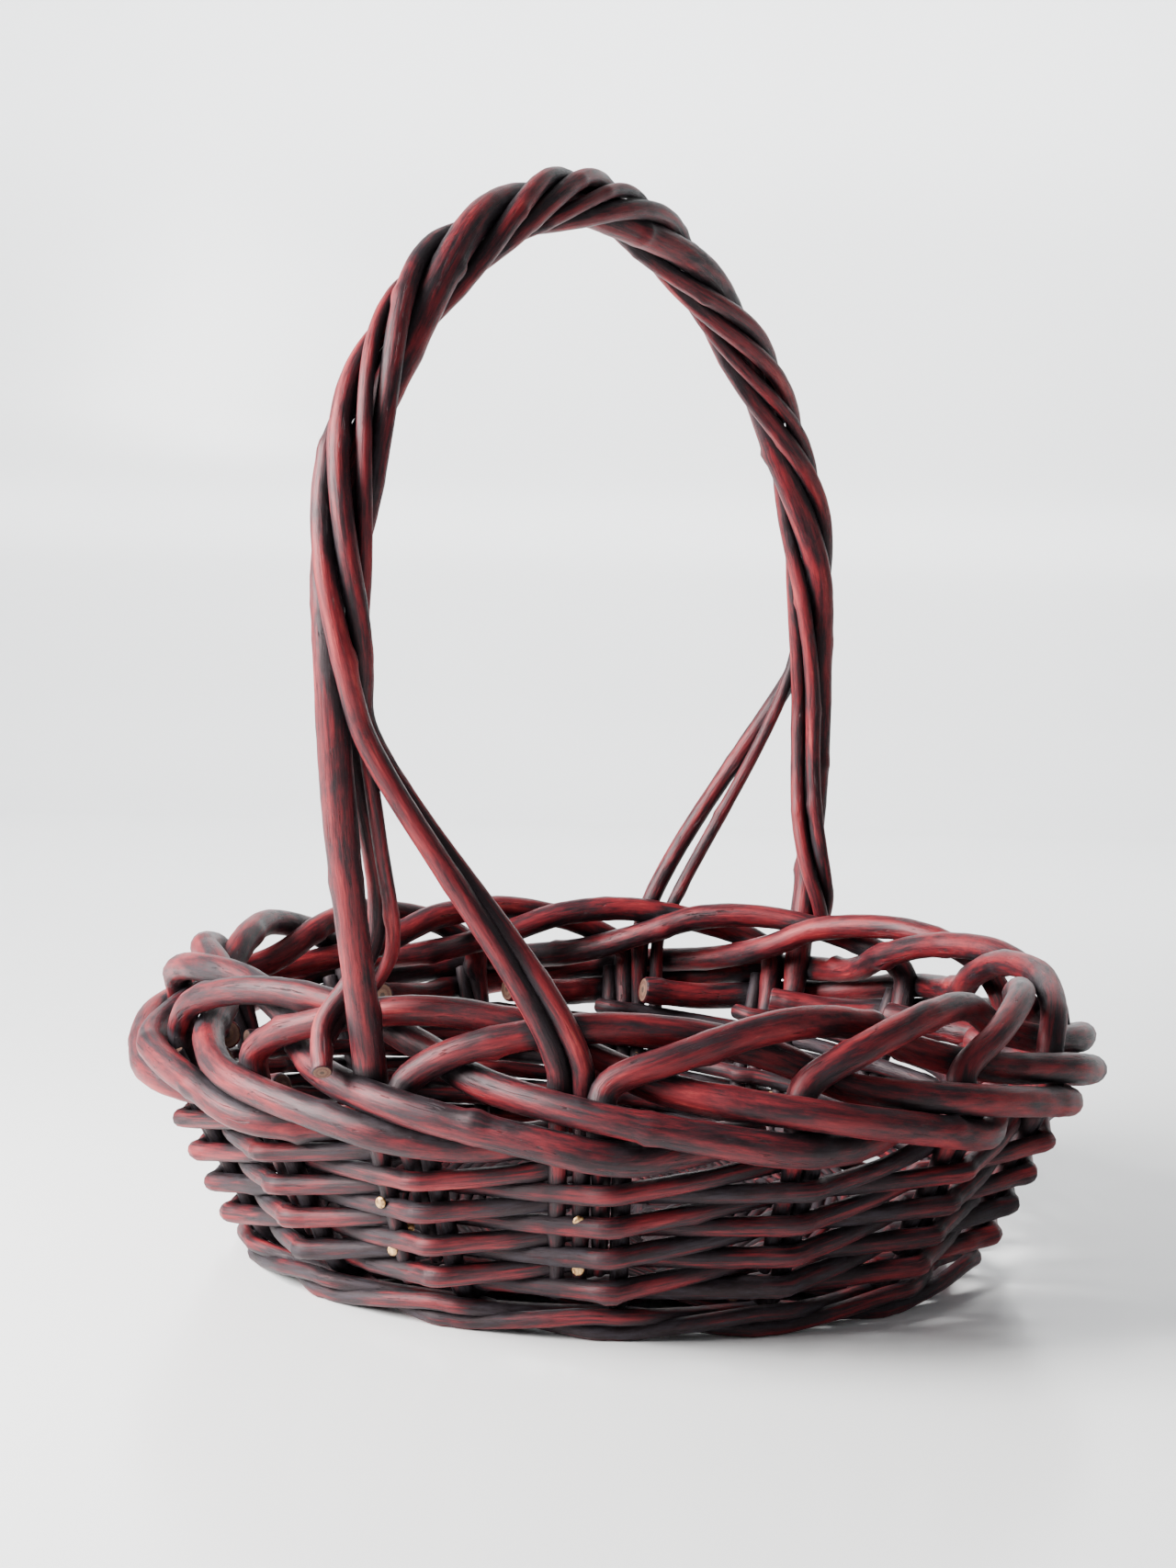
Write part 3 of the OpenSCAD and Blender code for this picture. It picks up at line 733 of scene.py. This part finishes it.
def makeSideWeavers():
    for i in range(stakeCount):
        knots, widths = [], []
        last = wall["strokes"]
        for n in range(last + 1):
            for f in (-halfFlat, 0, halfFlat, 0.5)[:3 if n == last else 4]:
                p = n + f
                # rods settle a little where they pass outside a stake, and bend most over its middle
                z = weaveFoot + rowPitch * p - randing["settle"] * stroke(p)
                z += wander(i + 40, p * 1.3, randing["wander"])
                turn = (i + p) * stepTurn
                width = wall["weaver"] * mix(*randing["thick"], p / last)
                width *= randing["between"] if f == 0.5 else 1.0
                crest = randing["crest"] if f == 0 else randing["flank"]
                radius = wallRadius(z) + (weaveReach + crest) * stroke(p)
                knots.append(at(clearRadius(radius, turn, z, wall["weaver"]), turn, z))
                widths.append(width)
        dark = i % 3 == 0
        tone = random.Random(i * 5).uniform(0.15, 0.85)
        obj = makeRod(f"sideWeaver{i + 1:02d}", knots, widths, "dark" if dark else "red", sides=12,
                      spacing=0.0032, tone=tone, seed=40 + i)
        finishRod(obj, "dark_rod" if dark else "red_rod", f"side_weaver_{i + 1:02d}")


def makeWale():
    # three rods, each outside two stakes and inside the third
    marks = [(1, waleLow), (1, waleHigh), (-1, (waleLow + waleHigh) / 2)]
    for i in range(3):
        knots = []
        for n in range(stakeCount - 1):
            here, after = marks[n % 3], marks[(n + 1) % 3]
            for f in (-halfFlat, 0, halfFlat, 0.5):
                t = ease((f - halfFlat) / (1 - 2 * halfFlat))
                z = mix(here[1], after[1], t)
                radius = wallRadius(z) + waleReach * mix(here[0], after[0], t)
                knots.append(at(radius, (i + n + f) * stepTurn, z))
        obj = makeRod(f"waleRod{i + 1:02d}", knots, [wall["wale"]] * len(knots), "dark", sides=12,
                      spacing=0.0032, tone=0.55 + 0.15 * i, seed=60 + i, bark=0.4)
        finishRod(obj, "dark_rod", f"wale_rod_{i + 1:02d}")


makeStakes()
makeSideWeavers()
makeWale()
print("wall made")

# stake spacings along the rim, steps of one rod out and up
borderRun = [
    (0, 0, 0), (0, 0.5, 1.5), (0.04, 0.5, 2.6), (0.33, 0.35, 3.6), (0.88, -0.3, 4.3), (1.45, -1.05, 4.1),
    (1.95, -1.05, 3.2), (2.38, 0.15, 2.4), (3, 1.4, 1.85), (3.7, 1.45, 1.05), (4.1, 1.1, 0.65),
    (4.45, 0, 0.6), (4.85, -1.05, 0.95),
]


def tailPoint(stake, shift, z):
    return at(footRadius(z), stake * stepTurn + arcTurn(shift, min(z, wallTop)), z)


looseness = {"rise": 0.0013, "out": 0.001, "turn": 0.012, "atEnd": 0.4, "thick": (1.02, 1.12)}


def makeBorder():
    for i in range(stakeCount):
        chance = random.Random(500 + i)
        depths = (rim["tailLength"], 0.025, rowPitch)
        knots = [tailPoint(i, tailShift, wallTop - depth) for depth in depths]
        widths = [0.7 * rim["tail"], rim["tail"], rim["tail"]]
        last = len(borderRun) - 1
        for k, (along, out, up) in enumerate(borderRun[1:], 1):
            give = 1 if k < last else looseness["atEnd"]
            z = wallTop + up * rimPitch + give * chance.uniform(-looseness["rise"], looseness["rise"])
            turn = (i + along) * stepTurn + arcTurn(tailShift, wallTop)
            turn += chance.uniform(-looseness["turn"], looseness["turn"])
            width = mix(rim["bend"], rim["butt"], k / last) * chance.uniform(*looseness["thick"])
            radius = wallRadius(wallTop) + out * rimPitch
            radius += give * chance.uniform(-looseness["out"], looseness["out"])
            knots.append(at(clearRadius(radius, turn, z, width), turn, z))
            widths.append(width)
        obj = makeRod(f"borderRod{i + 1:02d}", knots, widths, "red", sides=16, spacing=0.003,
                      tone=chance.uniform(0.2, 0.8), seed=80 + i)
        finishRod(obj, "red_rod", f"border_rod_{i + 1:02d}")


makeBorder()
print("border made")

handleTurn = secondBowStake * stepTurn + arcTurn(bowShift, wallTop)
handleAlong = Vector((cos(handleTurn), sin(handleTurn), 0))
handleFront = Vector((sin(handleTurn), -cos(handleTurn), 0))
wallTopRadius = wallRadius(wallTop)
halfSpan = wallTopRadius + handle["bulge"]
legRise = (handle["shoulder"] - wallTop) / sqrt(1 - (wallTopRadius / halfSpan) ** 2)
archPower = 2 / 1.78


def leaning(u, z):
    t = max(z - wallTop, 0) / (handle["height"] - wallTop)
    return handleAlong * (u - handle["lean"] * t * t) + Vector((0, 0, z))


def legPoint(side, t):
    z = mix(wallTop, handle["shoulder"], t)
    return leaning(side * halfSpan * sqrt(1 - ((handle["shoulder"] - z) / legRise) ** 2), z)


def topPoint(a):
    return leaning(-halfSpan * copysign(abs(cos(a)) ** archPower, cos(a)),
                   handle["shoulder"] + (handle["height"] - handle["shoulder"]) * abs(sin(a)) ** archPower)


legSteps, topSteps = 18, 38
arch = [legPoint(-1, i / legSteps) for i in range(legSteps)]
arch += [topPoint(pi * i / topSteps) for i in range(topSteps + 1)]
arch += [legPoint(1, 1 - i / legSteps) for i in range(1, legSteps + 1)]
archAt = [0.0]
for a, b in zip(arch, arch[1:]):
    archAt.append(archAt[-1] + (b - a).length)
archLength = archAt[-1]

twist = {
    "length": archLength / handle["turns"], "frontA": 0.184 * archLength, "ease": 0.074 * archLength,
    "bowReach": 0.005, "nestle": 0.0018, "swing": 0.009, "legPull": 0.55,
    "joinA": 0.159 * archLength, "joinB": 0.186 * archLength,
    # where an end stops and comes loose, angle it turns by, turning rate at its tip, added reach,
    # and how far the pair closes up
    "endA": (0.040 * archLength, 0.234 * archLength, radians(214), radians(750), 0.0, 0.25),
    "endB": (0.034 * archLength, 0.218 * archLength, radians(175), radians(1050), 0.008, 0.5),
}
frontB = twist["frontA"] + twist["length"] / 3
frontBow = frontB + twist["length"] / 3
twistStart = frontBow - 0.75 * twist["length"]
twistEnd = frontBow + 2.25 * twist["length"]
wrapReach = (handle["bow"] + max(handle["wrapA"], handle["wrapB"])) / 2 - twist["nestle"]
looseReach = (handle["bow"] + max(handle["wrapA"], handle["wrapB"])) / 2 + slack
pairSpread = asin(pairPitch / 2 / wrapReach)


def held(s):
    return ease((s - twistStart) / twist["ease"]) * ease((twistEnd - s) / twist["ease"])


def swing(s):
    bare = min(s / twistStart, (archLength - s) / (archLength - twistEnd))
    return twist["swing"] * ease(bare) * (1 - held(s))


def phase(front, s):
    return pi / 2 - 2 * pi * (s - front) / twist["length"]


def strandPoint(i, angle, reach):
    way = (arch[min(i + 1, len(arch) - 1)] - arch[max(i - 1, 0)]).normalized()
    out = handleFront.cross(way)
    return arch[i] + out * (swing(archAt[i]) + reach * cos(angle)) + handleFront * (reach * sin(angle))


def wrapPoint(i, front, spread, end, side):
    s = archAt[i]
    stop, free, total, rate, extra, closing = end
    d = s if side > 0 else archLength - s
    share = max(free - d, 0) / (free - stop)
    t = share
    start = 2 * pi * (free - stop) / twist["length"]
    turned = (t ** 3 - 2 * t * t + t) * start + (3 * t * t - 2 * t ** 3) * total + (t ** 3 - t * t) * rate
    kept = max(d, free)
    angle = phase(front, kept if side > 0 else archLength - kept) + side * turned + spread * (1 - share * closing)
    return strandPoint(i, angle, mix(looseReach, wrapReach, held(s)) + extra * share * share)


tailFoot = waleHigh + rowPitch
legFoot = wallTop + 2.7 * rimPitch


def legCurve(foot, footWay, join, joinWay, steps):
    reach = twist["legPull"] * (join - foot).length
    spots = []
    for k in range(steps):
        t = k / steps
        spots.append((2 * t ** 3 - 3 * t * t + 1) * foot + (t ** 3 - 2 * t * t + t) * reach * footWay
                     + (3 * t * t - 2 * t ** 3) * join + (t ** 3 - t * t) * reach * joinWay)
    return spots


def handleWidth(z, width):
    return mix(handle["tail"], width, ease((z - wallTop) / thicken))


def makeBow():
    knots = [tailPoint(firstBowStake, bowShift, z) for z in (tailFoot, wallTop - 0.02, wallTop - rowPitch)]
    for i in range(2, len(arch) - 2):
        knots.append(strandPoint(i, phase(frontBow, archAt[i]), twist["bowReach"] * held(archAt[i])))
    knots += [tailPoint(secondBowStake, bowShift, z) for z in (wallTop - rowPitch, wallTop - 0.02, tailFoot)]
    widths = [handleWidth(k.z, handle["bow"]) for k in knots]
    obj = makeRod("handleBow", knots, widths, "handle", sides=18, spacing=0.003, tone=0.55, seed=120)
    finishRod(obj, "handle_rod", "handle_bow")


wraps = {
    "wrapRodA1": {
        "node": "wrap_rod_a1", "fromFirst": True, "shift": footShift, "front": twist["frontA"],
        "spread": pairSpread, "width": handle["wrapA"], "apart": 0.001, "tone": 0.75, "seed": 131,
    },
    "wrapRodA2": {
        "node": "wrap_rod_a2", "fromFirst": True, "shift": nextFootShift, "front": twist["frontA"],
        "spread": -pairSpread, "width": handle["wrapA"], "apart": -0.001, "tone": 0.6, "seed": 132,
    },
    "wrapRodB1": {
        "node": "wrap_rod_b1", "fromFirst": False, "shift": footShift, "front": frontB,
        "spread": pairSpread, "width": handle["wrapB"], "apart": 0.003, "tone": 0.5, "seed": 133,
    },
    "wrapRodB2": {
        "node": "wrap_rod_b2", "fromFirst": False, "shift": nextFootShift, "front": frontB,
        "spread": -pairSpread, "width": handle["wrapC"], "apart": -0.004, "tone": 0.65, "seed": 134,
    },
}


def makeWrap(name, wrap):
    end = twist["endA"] if wrap["fromFirst"] else twist["endB"]
    side = -1 if wrap["fromFirst"] else 1
    stake = (firstBowStake if wrap["fromFirst"] else secondBowStake) + 1
    if wrap["fromFirst"]:
        joined = [i for i in range(len(arch)) if twist["joinA"] <= archAt[i] <= archLength - end[0]]
    else:
        joined = [i for i in reversed(range(len(arch))) if end[0] <= archAt[i] <= archLength - twist["joinB"]]
    turns = [wrapPoint(i, wrap["front"], wrap["spread"], end, side) for i in joined]
    foot = tailPoint(stake, wrap["shift"], legFoot)
    footWay = (foot - tailPoint(stake, wrap["shift"], wallTop)).normalized()
    tail = [tailPoint(stake, wrap["shift"], z) for z in (tailFoot, wallTop - rowPitch, wallTop + rowPitch)]
    leg = legCurve(foot, footWay, turns[0], (turns[1] - turns[0]).normalized(), 12)
    # the two rods of a pair bow apart between the rim and the twist
    along = Vector((-sin(stake * stepTurn), cos(stake * stepTurn), 0))
    leg = [k + along * wrap["apart"] * sin(pi * i / len(leg)) for i, k in enumerate(leg)]
    knots = tail + leg + turns
    taper = [mix(1.04, 0.86, i / len(knots)) for i in range(len(knots))]
    widths = [handleWidth(k.z, wrap["width"]) * t for k, t in zip(knots, taper)]
    widths[:3] = [handle["tail"] * share for share in (0.75, 1, 1)]
    obj = makeRod(name, knots, widths, "handle", sides=14, spacing=0.003, tone=wrap["tone"], seed=wrap["seed"])
    finishRod(obj, "handle_rod", wrap["node"])


makeBow()
for name, wrap in wraps.items():
    makeWrap(name, wrap)
print("handle made")

nail = {
    "shank": 0.0016, "head": 0.0044, "thick": 0.0008,
    "spots": ((2, 1), (5, 1), (3, -1), (6, -1)),  # weaver row, and outside or inside the wall
}


def makeNails():
    bm = bmesh.new()
    for foot in (feet[0], feet[1], feet[2], feet[4]):
        for row, side in nail["spots"]:
            z = weaveFoot + rowPitch * row
            turn = foot[0] * stepTurn + arcTurn(foot[1], z)
            reach = handle["tail"] / 2
            spot = Matrix.Translation(at(footRadius(z), turn, z)) @ Matrix.Rotation(turn, 4, "Z")
            spot = spot @ Matrix.Rotation(side * pi / 2, 4, "Y")
            made = bmesh.ops.create_circle(bm, cap_ends=True, segments=10, radius=nail["shank"] / 2)["verts"]
            bmesh.ops.translate(bm, vec=(0, 0, -reach), verts=made)
            edges = list({e for v in made for e in v.link_edges})
            whole = list(made)
            # up the shank, out under the head and over its low dome
            steps = [(3 * reach, 1), (0, nail["head"] / nail["shank"]), (nail["thick"] * 0.45, 1.0),
                     (nail["thick"] * 0.4, 0.8), (nail["thick"] * 0.2, 0.5)]
            for rise, grow in steps:
                grown = bmesh.ops.extrude_edge_only(bm, edges=edges)["geom"]
                verts = [g for g in grown if isinstance(g, bmesh.types.BMVert)]
                edges = [g for g in grown if isinstance(g, bmesh.types.BMEdge) and g.is_boundary]
                bmesh.ops.scale(bm, vec=(grow, grow, 1), verts=verts)
                bmesh.ops.translate(bm, vec=(0, 0, rise), verts=verts)
                whole += verts
            bmesh.ops.contextual_create(bm, geom=edges)
            bmesh.ops.transform(bm, matrix=spot, verts=whole)
    bmesh.ops.recalc_face_normals(bm, faces=bm.faces)
    mesh = bpy.data.meshes.new("nails")
    bm.to_mesh(mesh)
    bm.free()
    for face in mesh.polygons:
        face.use_smooth = True
    mesh.materials.append(nailBrass)
    obj = bpy.data.objects.new("nailHeads", mesh)
    bpy.context.scene.collection.objects.link(obj)
    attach(obj, "root")
    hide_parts("nails")


makeNails()
print("nails made")

# glaze gathers where rods touch or pass close, and the same value paints shade there: darker the closer the rods
# pass

glazeAndShading = {
    "reach": 0.0045,  # width of the gap that the glaze and the painted shade fill
    "halfRod": 0.0062,  # of the thickest rod
    "onEnds": 0.25,
    "onBase": 0.4,
}


def gatherGlazeAndShade():
    entries = [(None, *e) for e in joinedRods] + allRods
    centres, sizes, owner = [], [], []
    for k, (_, path, widths, _) in enumerate(entries):
        centres += list(path)
        sizes += list(widths / 2)
        owner += [k] * len(path)
    centres, sizes, owner = np.array(centres), np.array(sizes), np.array(owner)
    tree = KDTree(len(centres))
    for i, c in enumerate(centres):
        tree.insert(c, i)
    tree.balance()
    reach = glazeAndShading["reach"]
    for k, (obj, path, widths, sides) in enumerate(entries):
        if obj is None:
            continue
        mesh = obj.data
        spots = np.empty(len(mesh.vertices) * 3, dtype=np.float32)
        mesh.vertices.foreach_get("co", spots)
        spots = spots.reshape(-1, 3)
        glazeAndShade = np.full(len(mesh.vertices), glazeAndShading["onEnds"], dtype=np.float32)
        for i, c in enumerate(path):
            found = tree.find_range(c, widths[i] / 2 + glazeAndShading["halfRod"] + reach)
            near = [j for _, j, _ in found if owner[j] != k]
            ring = slice(i * sides, (i + 1) * sides)
            if not near:
                glazeAndShade[ring] = 0
                continue
            apart = np.linalg.norm(spots[ring][:, None, :] - centres[near][None, :, :], axis=2)
            gap = (apart - sizes[near][None, :]).min(axis=1)
            glazeAndShade[ring] = np.clip(1 - gap / reach, 0, 1)
        mesh.attributes.new("glazeAndShade", "FLOAT", "POINT").data.foreach_set("value", glazeAndShade)
    # the base rods get one even amount of glaze and painted shade
    for name in ("throughSticks", "slitSticks", "baseWeave"):
        mesh = bpy.data.objects[name].data
        film = [glazeAndShading["onBase"]] * len(mesh.vertices)
        mesh.attributes.new("glazeAndShade", "FLOAT", "POINT").data.foreach_set("value", film)


gatherGlazeAndShade()
print("glaze gathered")
